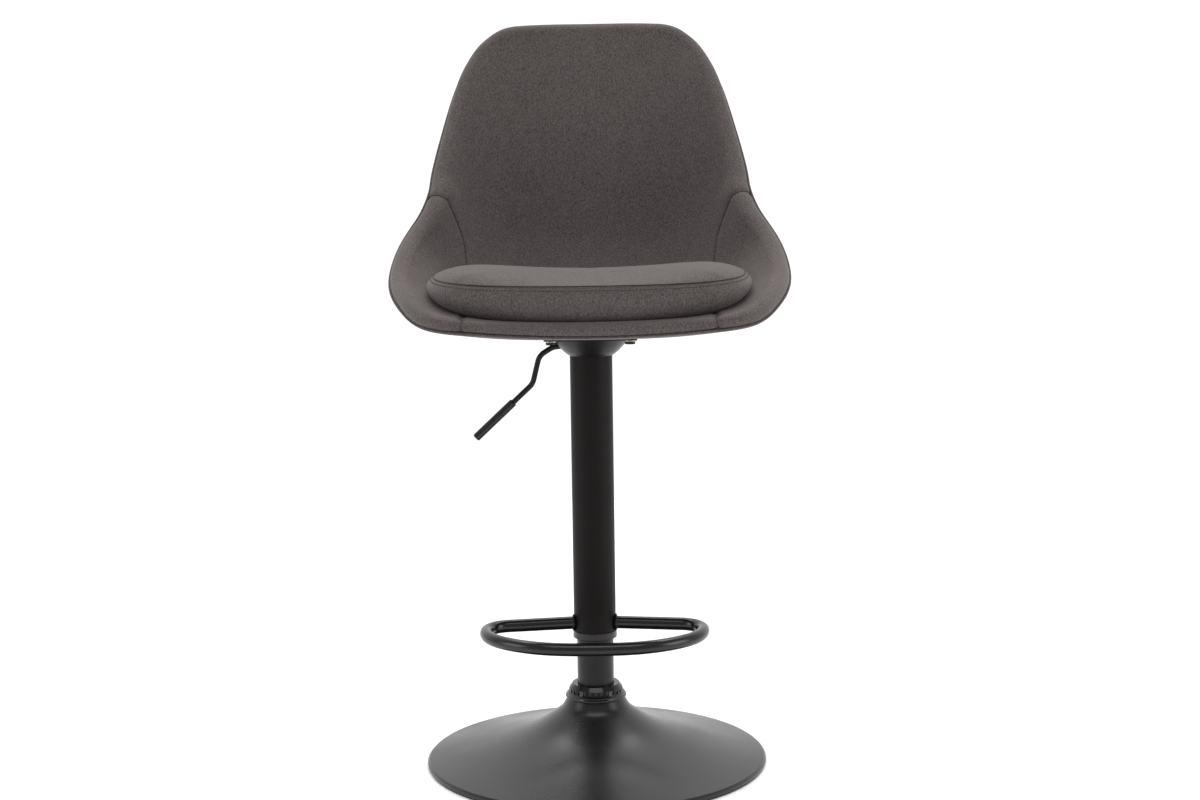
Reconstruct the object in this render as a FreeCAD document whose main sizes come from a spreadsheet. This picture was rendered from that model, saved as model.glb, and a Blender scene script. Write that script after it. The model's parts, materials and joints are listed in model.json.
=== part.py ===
"""Adjustable swivel stool: upholstered bucket seat on a gas-lift column with a trumpet base.

Frame: origin on the floor on the column's axis, +Z up, the seat faces -Y, the lever is at -X.
All sizes are in millimetres and live in the spreadsheet "sizes".
"""
import FreeCAD, Part
import math
import os

import Sketcher
from FreeCAD import Vector

doc = FreeCAD.newDocument("swivel_stool")
sheet = doc.addObject("Spreadsheet::Sheet", "sizes")

SIZES = {
    # pressed-steel base
    "base_radius": 207.5, "base_sheet": 2.0, "rim_height": 6.5, "rim_lift": 1.5,
    "neck_radius": 33.0, "neck_top": 84.0,
    "floor_ring_inner": 188.0, "floor_ring_outer": 206.5, "floor_ring_thick": 1.4,
    "ballast_radius": 176.0, "ballast_bottom": 3.0, "ballast_top": 10.0,
    "socket_radius": 30.4, "socket_bottom": 3.0,
    # ribbed ring round the foot of the column
    "collar_bottom": 77.0, "collar_top": 98.5, "collar_foot_radius": 36.5,
    "collar_band_radius": 33.5, "collar_lip_radius": 28.5, "collar_bore": 22.6,
    "rib_count": 28, "rib_width": 3.4, "rib_depth": 1.6,
    # telescoping tubes
    "inner_tube_radius": 22.25, "inner_tube_wall": 1.5, "inner_tube_bottom": 18.0,
    "inner_tube_top": 400.0,
    "guide_bottom": 345.0,
    "sleeve_radius": 25.5, "sleeve_wall": 1.5, "sleeve_bottom": 160.0, "sleeve_top": 505.0,
    "fit_gap": 0.05,
    "bush_radius": 26.8, "bush_height": 8.5, "bush_lip": 4.0,
    # gas lift, rod down
    "rod_radius": 5.0, "rod_bottom": 13.0, "rod_top": 370.0,
    "piston_bottom": 357.0, "piston_top": 367.0,
    "cylinder_radius": 14.0, "cylinder_bore": 13.0, "cylinder_bottom": 165.0, "cylinder_top": 505.0,
    "gland_height": 20.0, "valve_height": 35.0,
    "seat_plug_bottom": 20.0, "seat_plug_top": 30.0,
    "race_radius": 15.0, "race_thick": 2.0, "ball_radius": 2.0, "ball_count": 10, "ball_circle": 11.0,
    "buffer_radius": 9.0, "buffer_height": 9.0,
    "release_radius": 2.5, "release_bottom": 484.0, "release_top": 510.8,
    # foot ring
    "ring_height": 175.0, "ring_tube": 7.75, "ring_front": 133.5,
    # seat plate with its dished cup
    "cup_bottom": 503.5, "cup_sheet": 2.0, "plate_bottom": 526.5, "plate_thick": 2.5,
    "plate_side": 110.0, "bolt_x": 46.5, "bolt_y": 48.0, "bolt_radius": 3.0, "bolt_head": 6.2,
    # lever
    "pivot_x": -24.0, "pivot_z": 516.5, "pivot_radius": 2.5,
    "lever_radius": 3.3, "grip_radius": 5.0,
    # seat shell: share of the padded thickness that each layer takes
    "pad_share": 0.45, "core_start": 0.48, "core_end": 0.72, "cover_start": 0.75,
}
for row, (alias, number) in enumerate(SIZES.items(), start=1):
    sheet.set("A%d" % row, alias)
    sheet.set("B%d" % row, str(number))
    sheet.setAlias("B%d" % row, alias)
doc.recompute()


def size(alias):
    """The number in the cell with this alias."""
    return float(getattr(sheet, alias))


def cells(expression):
    """Turn plain aliases in an expression into references to the spreadsheet."""
    for alias in sorted(SIZES, key=len, reverse=True):
        expression = expression.replace("<%s>" % alias, "sizes." + alias)
    return expression


nodes = []


def keep(thing, label):
    """Mark a document object as a finished sub-part and give it its label."""
    thing.Label = label
    nodes.append(thing)
    return thing


def rod(name, radius, bottom, top, x="0", y="0"):
    """Upright cylinder between two heights; every size is an expression."""
    made = doc.addObject("Part::Cylinder", name)
    made.setExpression("Radius", cells(radius))
    made.setExpression("Height", cells("(%s) - (%s)" % (top, bottom)))
    made.setExpression("Placement.Base.x", cells(x))
    made.setExpression("Placement.Base.y", cells(y))
    made.setExpression("Placement.Base.z", cells(bottom))
    return made


def cut(name, base, tool):
    made = doc.addObject("Part::Cut", name)
    made.Base, made.Tool = base, tool
    return made


def fuse(name, pieces):
    made = doc.addObject("Part::MultiFuse", name)
    made.Shapes = pieces
    return made


def tube(name, outer, inner, bottom, top):
    """Upright tube between two heights."""
    return cut(name, rod(name + "_outside", outer, bottom, top),
               rod(name + "_bore", inner, "(%s) - 1" % bottom, "(%s) + 1" % top))


def origin_plane(body, role):
    return [p for p in body.Origin.OriginFeatures if p.Role == role][0]


def body_sketch(name, role="XZ_Plane"):
    """A body and an empty sketch on one of its origin planes."""
    body = doc.addObject("PartDesign::Body", name)
    sketch = body.newObject("Sketcher::SketchObject", name + "_sketch")
    sketch.AttachmentSupport = (origin_plane(body, role), [""])
    sketch.MapMode = "FlatFace"
    return body, sketch


def outline(sketch, points):
    """Closed outline whose corners are bound to the cells; a point is a pair of expressions."""
    count = len(points)
    for i in range(count):
        sketch.addGeometry(Part.LineSegment(Vector(i, i * i + 1, 0), Vector(i + 1, (i + 1) ** 2 + 1, 0)))
    for i in range(count):
        sketch.addConstraint(Sketcher.Constraint("Coincident", i, 2, (i + 1) % count, 1))
    for i, pair in enumerate(points):
        for kind, words in zip(("DistanceX", "DistanceY"), pair):
            index = sketch.addConstraint(Sketcher.Constraint(kind, -1, 1, i, 1, 1.0))
            sketch.setExpression("Constraints[%d]" % index, cells(words))


def turned(name, points):
    """Body turned about the Z axis from a closed outline of (radius, height) expressions."""
    body, sketch = body_sketch(name)
    outline(sketch, points)
    turn = body.newObject("PartDesign::Revolution", name + "_turn")
    turn.Profile = sketch
    turn.ReferenceAxis = (sketch, ["V_Axis"])
    turn.Angle = 360.0
    sketch.Visibility = False
    doc.recompute()
    return body


# ---------------------------------------------------------------- base
def trumpet_face():
    """Half section of the pressed sheet: a flare that falls steeply, then runs out nearly flat."""
    neck, top, edge = size("neck_radius"), size("neck_top"), size("base_radius")
    thick, rim, lift = size("base_sheet"), size("rim_height"), size("rim_lift")
    drop = top - rim
    share = [(0.0, 1.0), (0.02, 0.92), (0.05, 0.807), (0.10, 0.712), (0.23, 0.525), (0.44, 0.335),
             (0.72, 0.150), (0.985, 0.012)]
    outside = [Vector(neck + a * (edge - neck), 0, rim + b * drop) for a, b in share]
    inside = []
    for i, point in enumerate(outside):
        before, after = outside[max(i - 1, 0)], outside[min(i + 1, len(outside) - 1)]
        along = (after - before).normalize()
        inside.append(point + Vector(along.z, 0, -along.x) * thick)
    inside[0].z = top
    corners = [outside[-1], Vector(edge, 0, rim - 1.6), Vector(edge, 0, lift),
               Vector(edge - thick, 0, lift), Vector(edge - thick, 0, rim - 3.0), inside[-1]]
    curves = []
    for points in (outside, inside):
        curve = Part.BSplineCurve()
        curve.interpolate(points)
        curves.append(curve.toShape())
    lines = [Part.makeLine(a, b) for a, b in zip(corners, corners[1:])]
    closing = Part.makeLine(inside[0], outside[0])
    wire = Part.Wire(Part.__sortEdges__(curves + lines + [closing]))
    return Part.Face(wire)


trumpet = doc.addObject("Part::Feature", "trumpet")
trumpet.Shape = trumpet_face().revolve(Vector(0, 0, 0), Vector(0, 0, 1), 360)
keep(trumpet, "trumpet_base")

keep(tube("floor_ring", "<floor_ring_outer>", "<floor_ring_inner>", "0", "<floor_ring_thick>"), "floor_ring")
keep(tube("ballast", "<ballast_radius>", "<socket_radius> + 0.3", "<ballast_bottom>", "<ballast_top>"),
     "ballast_disc")
keep(tube("socket", "<socket_radius>", "<inner_tube_radius> + 0.02", "<socket_bottom>", "<collar_bottom> - 1"),
     "base_socket")

collar = turned("collar", [
    ("<collar_bore>", "<collar_bottom> + 8.5"),
    ("<collar_lip_radius>", "<collar_bottom> + 8.5"),
    ("<neck_radius> + 1.8", "<collar_bottom> + 8.5"),
    ("<neck_radius> + 1.8", "<collar_bottom> + 5"),
    ("<collar_foot_radius> + 0.6", "<collar_bottom> + 5"),
    ("<collar_foot_radius> + 0.6", "<collar_bottom> + 7"),
    ("<collar_foot_radius> - 1", "<collar_bottom> + 8"),
    ("<collar_foot_radius> - 1", "<collar_bottom> + 9.5"),
    ("<collar_band_radius>", "<collar_bottom> + 11"),
    ("<collar_band_radius> - 1.2", "<collar_top> - 5"),
    ("<collar_lip_radius>", "<collar_top>"),
    ("<collar_bore>", "<collar_top>"),
])
slot = collar.newObject("Sketcher::SketchObject", "collar_slot_sketch")
slot.AttachmentSupport = (origin_plane(collar, "XY_Plane"), [""])
slot.MapMode = "FlatFace"
outline(slot, [("<collar_band_radius> - <rib_depth>", "-<rib_width> / 2"),
               ("<collar_band_radius> + 6", "-<rib_width> / 2"),
               ("<collar_band_radius> + 6", "<rib_width> / 2"),
               ("<collar_band_radius> - <rib_depth>", "<rib_width> / 2")])
slot.setExpression("AttachmentOffset.Base.z", cells("<collar_bottom> + 11.5"))
groove = collar.newObject("PartDesign::Pocket", "collar_slot")
groove.Profile = slot
groove.Reversed = True
groove.setExpression("Length", cells("<collar_top> - <collar_bottom> - 16"))
doc.recompute()
ring_of_slots = collar.newObject("PartDesign::PolarPattern", "collar_slots")
ring_of_slots.Originals = [groove]
ring_of_slots.Axis = (slot, ["N_Axis"])
ring_of_slots.Angle = 360
ring_of_slots.setExpression("Occurrences", cells("<rib_count>"))
collar.Tip = ring_of_slots
keep(collar, "base_collar")

keep(tube("inner_tube", "<inner_tube_radius>", "<inner_tube_radius> - <inner_tube_wall>",
          "<inner_tube_bottom>", "<inner_tube_top>"), "lower_tube")
keep(tube("guide", "<sleeve_radius> - <sleeve_wall> - <fit_gap>", "<inner_tube_radius> + 0.02",
          "<guide_bottom>", "<inner_tube_top>"), "guide_bush")
keep(tube("seat_plug", "<inner_tube_radius> - <inner_tube_wall> - 0.02", "<rod_radius> + <fit_gap>",
          "<seat_plug_bottom>", "<seat_plug_top>"), "rod_seat")
keep(tube("race_low", "<race_radius>", "<rod_radius> + 0.4", "<seat_plug_top>",
          "<seat_plug_top> + <race_thick>"), "lower_race")

# ---------------------------------------------------------------- thrust bearing
BEARING_GAP = 0.1
cage_low = "<seat_plug_top> + <race_thick> + 1"
cage = tube("cage", "<race_radius> - 0.5", "<rod_radius> + 0.8", cage_low, cage_low + " + 2")
balls, pockets = [], []
for i in range(int(size("ball_count"))):
    turn = 2 * math.pi * i / int(size("ball_count"))
    for group, extra in ((balls, 0.0), (pockets, 0.05)):
        ball = doc.addObject("Part::Sphere", "ball")
        ball.setExpression("Radius", cells("<ball_radius> + %g" % extra))
        ball.setExpression("Placement.Base.x", cells("<ball_circle> * %.5f" % math.cos(turn)))
        ball.setExpression("Placement.Base.y", cells("<ball_circle> * %.5f" % math.sin(turn)))
        ball.setExpression("Placement.Base.z", cells("<seat_plug_top> + <race_thick> + <ball_radius> + %g"
                                                     % BEARING_GAP))
        group.append(ball)
keep(cut("cage_ring", cage, fuse("cage_pockets", pockets)), "bearing_cage")
bearing_balls = doc.addObject("Part::Compound", "balls")
bearing_balls.Links = balls
keep(bearing_balls, "bearing_balls")

# ---------------------------------------------------------------- piston
race_top = "<seat_plug_top> + <race_thick> + 2 * <ball_radius> + 0.2"
keep(rod("piston_rod", "<rod_radius>", "<rod_bottom>", "<rod_top>"), "piston_rod")
keep(tube("piston", "<cylinder_bore> - <fit_gap>", "<rod_radius> + 0.02", "<piston_bottom>", "<piston_top>"),
     "piston_head")
keep(tube("clip", "<rod_radius> + 4", "<rod_radius> + 0.02", "<seat_plug_bottom> - 2.4",
          "<seat_plug_bottom> - 0.4"), "rod_clip")
keep(tube("race_high", "<race_radius>", "<rod_radius> + 0.02", race_top, race_top + " + <race_thick>"),
     "upper_race")
buffer_low = race_top + " + <race_thick> + 0.05"
keep(tube("buffer", "<buffer_radius>", "<rod_radius> + 0.02", buffer_low, buffer_low + " + <buffer_height>"),
     "rubber_buffer")

# ---------------------------------------------------------------- lifting column
keep(tube("cylinder", "<cylinder_radius>", "<cylinder_bore>", "<cylinder_bottom>", "<cylinder_top>"),
     "gas_cylinder")
keep(tube("gland", "<cylinder_bore> - 0.02", "<rod_radius> + <fit_gap>", "<cylinder_bottom>",
          "<cylinder_bottom> + <gland_height>"), "rod_gland")
keep(tube("valve", "<cylinder_bore> - 0.02", "<release_radius> + <fit_gap>",
          "<cylinder_top> - <valve_height>", "<cylinder_top> - 1"), "valve_block")
keep(tube("sleeve", "<sleeve_radius>", "<sleeve_radius> - <sleeve_wall>", "<sleeve_bottom>", "<sleeve_top>"),
     "sleeve_tube")
keep(tube("hub", "<sleeve_radius> - <sleeve_wall> - 0.02", "<cylinder_radius> + 0.02",
          "<sleeve_top> - 27", "<sleeve_top>"), "column_hub")
bush_bottom = "<sleeve_bottom> - <bush_lip>"
keep(turned("bush", [
    ("<inner_tube_radius> + <fit_gap>", bush_bottom),
    ("<bush_radius> - 0.8", bush_bottom),
    ("<bush_radius>", bush_bottom + " + 0.8"),
    ("<bush_radius> - 0.4", bush_bottom + " + <bush_height>"),
    ("<sleeve_radius> + 0.02", bush_bottom + " + <bush_height>"),
    ("<sleeve_radius> + 0.02", "<sleeve_bottom> - 0.02"),
    ("<inner_tube_radius> + <fit_gap>", "<sleeve_bottom> - 0.02"),
]), "sleeve_bush")


# ---------------------------------------------------------------- foot ring
RING_ARCS = [(295.0, 7.0), (128.0, 45.0), (65.0, 90.0), (30.0, 171.0)]
RING_END = 25.0


def half_ring():
    """Right half of the foot ring's centreline: tangent arcs, then a straight bar to the column."""
    z = size("ring_height")
    at, heading, edges = Vector(0, -size("ring_front"), z), 0.0, []
    for radius, until in RING_ARCS:
        centre = at + Vector(-math.sin(heading), math.cos(heading), 0) * radius
        stops = [heading + (math.radians(until) - heading) * k for k in (0.5, 1.0)]
        middle, end = [centre + Vector(math.sin(a), -math.cos(a), 0) * radius for a in stops]
        edges.append(Part.Arc(at, middle, end).toShape())
        at, heading = end, math.radians(until)
    run = (at.x - RING_END) / abs(math.cos(heading))
    edges.append(Part.makeLine(at, at + Vector(math.cos(heading), math.sin(heading), 0) * run))
    return edges


right = half_ring()
mirror = FreeCAD.Matrix()
mirror.A11 = -1
left = [edge.transformGeometry(mirror) for edge in right]
centreline = Part.Wire(Part.__sortEdges__(left + right))
line_end = right[-1].Vertexes[-1].Point
across = right[-1].Vertexes[0].Point - line_end
circle = Part.Wire(Part.makeCircle(size("ring_tube"), line_end, across))
ordered = Part.Wire(Part.__sortEdges__(list(reversed(right)) + left))
ring_sweep = ordered.makePipeShell([circle], True, True)
column = Part.makeCylinder(size("sleeve_radius") + 0.02, 60, Vector(0, 0, size("ring_height") - 30))
foot_ring = doc.addObject("Part::Feature", "foot_ring")
foot_ring.Shape = ring_sweep.cut(column)
keep(foot_ring, "footrest_ring")

weld_beads = []
for side in (1, -1):
    bead = Part.makeTorus(size("ring_tube") + 0.6, 1.7, Vector(side * (size("sleeve_radius") + 0.2), -5.2,
                                                              size("ring_height")), Vector(1, 0, 0))
    bead = bead.cut(ring_sweep).cut(column)
    weld_beads.append(bead)
welds = doc.addObject("Part::Feature", "welds")
welds.Shape = Part.makeCompound(weld_beads)
keep(welds, "footrest_welds")

# ---------------------------------------------------------------- seat plate
cup = turned("cup", [
    ("<sleeve_radius> + 0.05", "<cup_bottom>"),
    ("27.4", "<cup_bottom>"),
    ("29.4", "<cup_bottom> + 1.5"),
    ("31.9", "<cup_bottom> + 3.5"),
    ("34.6", "<cup_bottom> + 6"),
    ("37.4", "<cup_bottom> + 9"),
    ("40.6", "<cup_bottom> + 12.5"),
    ("43.9", "<cup_bottom> + 16.5"),
    ("46.7", "<cup_bottom> + 20"),
    ("49", "<plate_bottom>"),
    ("46.4", "<plate_bottom>"),
    ("44.0", "<cup_bottom> + 20"),
    ("41.2", "<cup_bottom> + 16.5"),
    ("37.8", "<cup_bottom> + 12.5"),
    ("34.5", "<cup_bottom> + 9"),
    ("31.5", "<cup_bottom> + 6"),
    ("29.2", "<cup_bottom> + 4"),
    ("<sleeve_radius> + 0.05", "<cup_bottom> + 2.6"),
])
slot_box = doc.addObject("Part::Box", "lever_slot")
slot_box.Length, slot_box.Width, slot_box.Height = 40, 13, 18
slot_box.Placement.Base = Vector(-62, -6.5, size("plate_bottom") - 18)
keep(cut("cup_with_slot", cup, slot_box), "seat_cup")

BOLTS = [(sx, sy) for sx in (1, -1) for sy in (1, -1)]


def bolt_rods(name, radius, bottom, top):
    """Four upright cylinders on the bolt pattern."""
    made = []
    for sx, sy in BOLTS:
        made.append(rod(name, radius, bottom, top, "%d * <bolt_x>" % sx, "%d * <bolt_y>" % sy))
    return made


def group(name, pieces):
    made = doc.addObject("Part::Compound", name)
    made.Links = pieces
    return made


square = doc.addObject("Part::Box", "plate_square")
for side_name in ("Length", "Width"):
    square.setExpression(side_name, cells("<plate_side>"))
for axis in "xy":
    square.setExpression("Placement.Base." + axis, cells("-<plate_side> / 2"))
square.setExpression("Height", cells("<plate_thick>"))
square.setExpression("Placement.Base.z", cells("<plate_bottom> + 0.05"))
keep(cut("plate", square, fuse("plate_holes", bolt_rods("hole", "<bolt_radius> + 0.3", "<plate_bottom> - 5",
                                                        "<plate_bottom> + 9"))), "seat_plate")
plate_top = "<plate_bottom> + 0.05 + <plate_thick>"
washers = cut("washer_set", group("washer_discs", bolt_rods("washer", "<bolt_head> + 1.4",
                                                            "<plate_bottom> - 1.2", "<plate_bottom>")),
              fuse("washer_holes", bolt_rods("washer_hole", "<bolt_radius> + 0.2", "<plate_bottom> - 3",
                                             "<plate_bottom> + 3")))
keep(washers, "plate_washers")
bolts = fuse("bolt_set", bolt_rods("bolt_head_disc", "<bolt_head>", "<plate_bottom> - 4.7",
                                   "<plate_bottom> - 1.25")
             + bolt_rods("bolt_shank", "<bolt_radius>", "<plate_bottom> - 2", "<plate_bottom> + 24"))
keep(bolts, "plate_bolts")
spacer_top = plate_top + " + 3.6"
spacers = cut("spacer_set", group("spacer_discs", bolt_rods("spacer", "9", plate_top, spacer_top)),
              fuse("spacer_holes", bolt_rods("spacer_hole", "<bolt_radius> + 0.2", "<plate_bottom> - 3",
                                             "<plate_bottom> + 20")))
keep(spacers, "plate_spacers")

# ---------------------------------------------------------------- lever
pivot = doc.addObject("Part::Cylinder", "pivot")
pivot.setExpression("Radius", cells("<pivot_radius>"))
pivot.Height = 26
pivot.Placement = FreeCAD.Placement(Vector(size("pivot_x"), 13, size("pivot_z")),
                                    FreeCAD.Rotation(Vector(1, 0, 0), 90))
keep(pivot, "pivot_pin")

ears = []
for y_low in (-12.5, 9.5):
    ear = doc.addObject("Part::Box", "ear")
    ear.Length, ear.Width = 12, 3
    ear.Height = size("plate_bottom") - size("pivot_z") + 5
    ear.Placement.Base = Vector(size("pivot_x") - 6, y_low, size("pivot_z") - 5)
    ears.append(ear)
ear_bore = doc.addObject("Part::Cylinder", "ear_bore")
ear_bore.Radius, ear_bore.Height = size("pivot_radius") + 0.02, 40
ear_bore.Placement = FreeCAD.Placement(Vector(size("pivot_x"), 20, size("pivot_z")),
                                       FreeCAD.Rotation(Vector(1, 0, 0), 90))
keep(cut("ears_bored", group("ears", ears), ear_bore), "pivot_bracket")

LEVER_BENDS = [Vector(-30, 0, 514.3), Vector(-46, 0, 512.5), Vector(-62, 0, 502.5), Vector(-70.5, 0, 468.5),
               Vector(-95, 0, 445.6)]
GRIP_START, GRIP_END = Vector(-94.0, 0, 446.5), Vector(-140.0, 0, 403.5)
BEND_RADIUS = 18.0


def bent_wire(points, radius):
    """Straight runs joined by tangent arcs of one radius."""
    edges, start = [], points[0]
    for before, corner, after in zip(points, points[1:], points[2:]):
        towards, away = (before - corner).normalize(), (after - corner).normalize()
        half = towards.getAngle(away) / 2
        back = radius / math.tan(half)
        first, last = corner + towards * back, corner + away * back
        centre = corner + (towards + away).normalize() * (radius / math.sin(half))
        middle = centre + (corner - centre).normalize() * radius
        edges += [Part.makeLine(start, first), Part.Arc(first, middle, last).toShape()]
        start = last
    return Part.Wire(edges + [Part.makeLine(start, points[-1])])


wire = bent_wire(LEVER_BENDS, BEND_RADIUS)
lever_circle = Part.Wire(Part.makeCircle(size("lever_radius"), LEVER_BENDS[0], LEVER_BENDS[1] - LEVER_BENDS[0]))
lever = doc.addObject("Part::Feature", "lever")
lever.Shape = wire.makePipeShell([lever_circle], True, True)
keep(lever, "lever_rod")

grip_axis = GRIP_END - GRIP_START
grip_solid = Part.makeCylinder(size("grip_radius"), grip_axis.Length, GRIP_START, grip_axis)
grip_solid = grip_solid.makeChamfer(0.8, [grip_solid.Edges[0], grip_solid.Edges[2]])
grip = doc.addObject("Part::Feature", "grip")
grip.Shape = grip_solid.cut(lever.Shape)
keep(grip, "lever_grip")

block = Part.makeBox(13.5, 13, 10.5, Vector(size("pivot_x") - 6.5, -6.5, size("pivot_z") - 7))
finger = Part.makeCylinder(2.6, 24, Vector(size("pivot_x") + 5, 0, size("release_top") + 3.1), Vector(1, 0, 0))
bore = Part.makeCylinder(size("pivot_radius") + size("fit_gap"), 40,
                         Vector(size("pivot_x"), -20, size("pivot_z")), Vector(0, 1, 0))
heel = doc.addObject("Part::Feature", "heel")
heel.Shape = block.fuse(finger).cut(bore).cut(lever.Shape)
keep(heel, "lever_block")

keep(rod("release", "<release_radius>", "<release_bottom>", "<release_top>"), "release_pin")

# ---------------------------------------------------------------- upholstered seat
# One line per rib of the bucket, from the front edge over the seat and up the back:
# y and z of the padded face at the middle, half width, how far the rim stands forward and up
# from the middle, how late the rib turns up (a power), and the padded thickness.
RIBS = [
    (-196, 563, 118, 0, 5, 2.0, 16.5),
    (-189, 565, 156, 2, 7, 2.5, 17.5),
    (-162, 565.5, 184, 6, 13, 3.0, 21),
    (-108, 565, 199, 0, 25, 3.5, 26),
    (-20, 561, 213, -10, 44, 4.0, 28),
    (65, 562, 205, -22, 70, 4.5, 28),
    (130, 576, 182, -40, 86, 5.0, 28),
    (172, 618, 171, -52, 72, 5.0, 28),
    (194, 676, 170, -54, 36, 4.5, 27),
    (212, 750, 161, -40, 12, 4.0, 26),
    (230, 822, 148, -24, 2, 3.5, 25),
    (240.5, 862, 137, -14, -3, 3.0, 24),
    (245.3, 880, 120, -10, -4, 2.5, 23),
    (247.3, 887, 91, -4, -1, 2.5, 22),
]
FRONT_RIB, SEAT_RIB, BEND_RIB, TOP_RIB = 0, 2, 7, len(RIBS) - 1
ACROSS = 15


def rib_curve(rib, depth, low, high):
    """Points across one rib, from share low to share high of its half width, at a depth into the pad."""
    y, z, half, forward, up, power, thick = rib
    reach = math.hypot(forward, up)
    points = []
    for i in range(ACROSS):
        share = low + (high - low) * i / (ACROSS - 1)
        side = math.copysign(1.0, share)
        rise = reach * abs(share) ** power
        slope = side * reach * power * abs(share) ** (power - 1) / half
        length = math.hypot(1.0, slope)
        x = share * half + slope / length * depth * thick
        rise -= depth * thick / length
        points.append(Vector(x, y + forward / reach * rise, z + up / reach * rise))
    return points


def rib_wire(rib, top_depth, low_depth, low, high):
    """Closed section of one layer of the seat at one rib."""
    upper = rib_curve(rib, top_depth, low, high)
    lower = rib_curve(rib, low_depth, low, high)
    edges = []
    for points in (upper, list(reversed(lower))):
        curve = Part.BSplineCurve()
        curve.interpolate(points)
        edges.append(curve.toShape())
    return Part.Wire([edges[0], Part.makeLine(upper[-1], lower[-1]), edges[1],
                      Part.makeLine(lower[0], upper[0])])


def layer(name, label, first, last, top_depth, low_depth, low=-1.0, high=1.0):
    """Layer of the seat lofted from rib first to rib last."""
    wires = [rib_wire(RIBS[i], top_depth, low_depth, low, high) for i in range(first, last + 1)]
    made = doc.addObject("Part::Feature", name)
    made.Shape = Part.makeLoft(wires, True, False)
    return keep(made, label)


WING, GAP = 0.74, 0.006
pad = size("pad_share")
layer("back", "back_pad", BEND_RIB, TOP_RIB, 0.0, pad)
wing_right = layer("wing_right", "wing_pad_right", FRONT_RIB, BEND_RIB, 0.0, pad, WING + GAP, 1.0)
wing_left = layer("wing_left", "wing_pad_left", FRONT_RIB, BEND_RIB, 0.0, pad, -1.0, -WING - GAP)
front_band = layer("front", "front_pad", FRONT_RIB, SEAT_RIB, 0.0, pad, -WING, WING)
seat_pan = layer("pan", "pan_pad", SEAT_RIB, BEND_RIB, 0.0, pad, -WING, WING)
core = layer("core", "seat_shell", FRONT_RIB + 1, TOP_RIB, size("core_start"), size("core_end"), -0.97, 0.97)
cover = layer("cover", "rear_cover", FRONT_RIB, TOP_RIB, size("cover_start"), 1.0)

# the foam is trimmed where it would run into the moulded shell
for padding in [node for node in nodes if node.Label.endswith(("_pad", "_pad_left", "_pad_right"))]:
    padding.Shape = padding.Shape.cut(core.Shape)

for wing in (wing_right, wing_left):
    front_band.Shape = front_band.Shape.cut(wing.Shape)

# clear holes for the bolts, and the threaded inserts that take them
inserts = []
for sx, sy in BOLTS:
    foot = Vector(sx * size("bolt_x"), sy * size("bolt_y"), size("plate_bottom"))
    for layer_object in (core, cover):
        hole = Part.makeCylinder(5.05 if layer_object is core else 3.6, 40, foot)
        layer_object.Shape = layer_object.Shape.cut(hole)
    barrel = Part.makeCylinder(5.0, 8.5, foot + Vector(0, 0, 16))
    inserts.append(barrel.cut(Part.makeCylinder(size("bolt_radius") + 0.02, 40, foot)))
    seat_pan.Shape = seat_pan.Shape.cut(Part.makeCylinder(5.3, 26, foot))
insert_set = doc.addObject("Part::Feature", "inserts")
insert_set.Shape = Part.makeCompound(inserts)
keep(insert_set, "threaded_inserts")

# loose cushion: y, half width, underside and top at the middle
CUSHION_RIBS = [
    (-184, 124, 577, 600), (-177, 146, 574, 609), (-150, 172, 572, 616.5), (-100, 182, 571, 618.5),
    (-20, 183, 567.5, 614), (60, 174, 568.5, 606), (112, 156, 578, 600), (130, 136, 584, 597),
]
CUSHION_CURL, CUSHION_DISH, EDGE_ROUND = 24.0, 9.0, 0.72


def cushion_wire(y, half, low, high):
    """Closed section of the cushion: a dished pad with full, rounded ends."""
    steps = [-1 + 2 * i / (ACROSS - 1) for i in range(ACROSS)]
    middle = (low + high) / 2
    upper, lower = [], []
    for share in steps:
        full = (1 - abs(share) ** 5) ** EDGE_ROUND if abs(share) < 1 else 0.0
        bend = CUSHION_DISH * share ** 2
        curl = CUSHION_CURL * abs(share) ** 5
        upper.append(Vector(share * half, y, middle + curl / 2 + bend + (high - middle - curl / 4) * full + 1.5))
        lower.append(Vector(share * half, y, middle + curl / 2 + bend - (middle - low) * full - 1.5))
    edges = []
    for points in (upper, list(reversed(lower))):
        curve = Part.BSplineCurve()
        curve.interpolate(points)
        edges.append(curve.toShape())
    return Part.Wire([edges[0], Part.makeLine(upper[-1], lower[-1]), edges[1],
                      Part.makeLine(lower[0], upper[0])])


cushion = doc.addObject("Part::Feature", "cushion")
cushion.Shape = Part.makeLoft([cushion_wire(*rib) for rib in CUSHION_RIBS], True, False)
for wing in (wing_right, wing_left):
    cushion.Shape = cushion.Shape.cut(wing.Shape)
keep(cushion, "seat_cushion")

# ---------------------------------------------------------------- checks and files
doc.recompute()
for thing in doc.Objects:
    if "Invalid" in thing.State or "Error" in thing.State:
        raise RuntimeError("%s did not rebuild: %s" % (thing.Label, thing.State))
os.makedirs("parts", exist_ok=True)
for node in nodes:
    shape = node.Shape
    if shape.isNull() or not shape.isValid() or not shape.Solids or shape.Volume <= 0:
        raise RuntimeError("%s has no sound shape" % node.Label)
    shape.exportStep(os.path.join("parts", node.Label + ".step"))
    box = shape.BoundBox
    print("%-18s %2d solids %9.1f mm3  z %.1f..%.1f" % (node.Label, len(shape.Solids), shape.Volume,
                                                     box.ZMin, box.ZMax))
print(len(nodes), "nodes")
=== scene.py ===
# %% [markdown]
# # Adjustable swivel stool
# A bar stool: an upholstered bucket on a gas-lift column, with a foot ring and a trumpet base.
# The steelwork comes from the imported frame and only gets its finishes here. The soft parts are
# made here: the padded bucket from a few ribs, and the loose cushion by cloth simulation.

# %% Load the frame
import bpy, json, math
import numpy as np
from mathutils import Matrix, Vector


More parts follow.
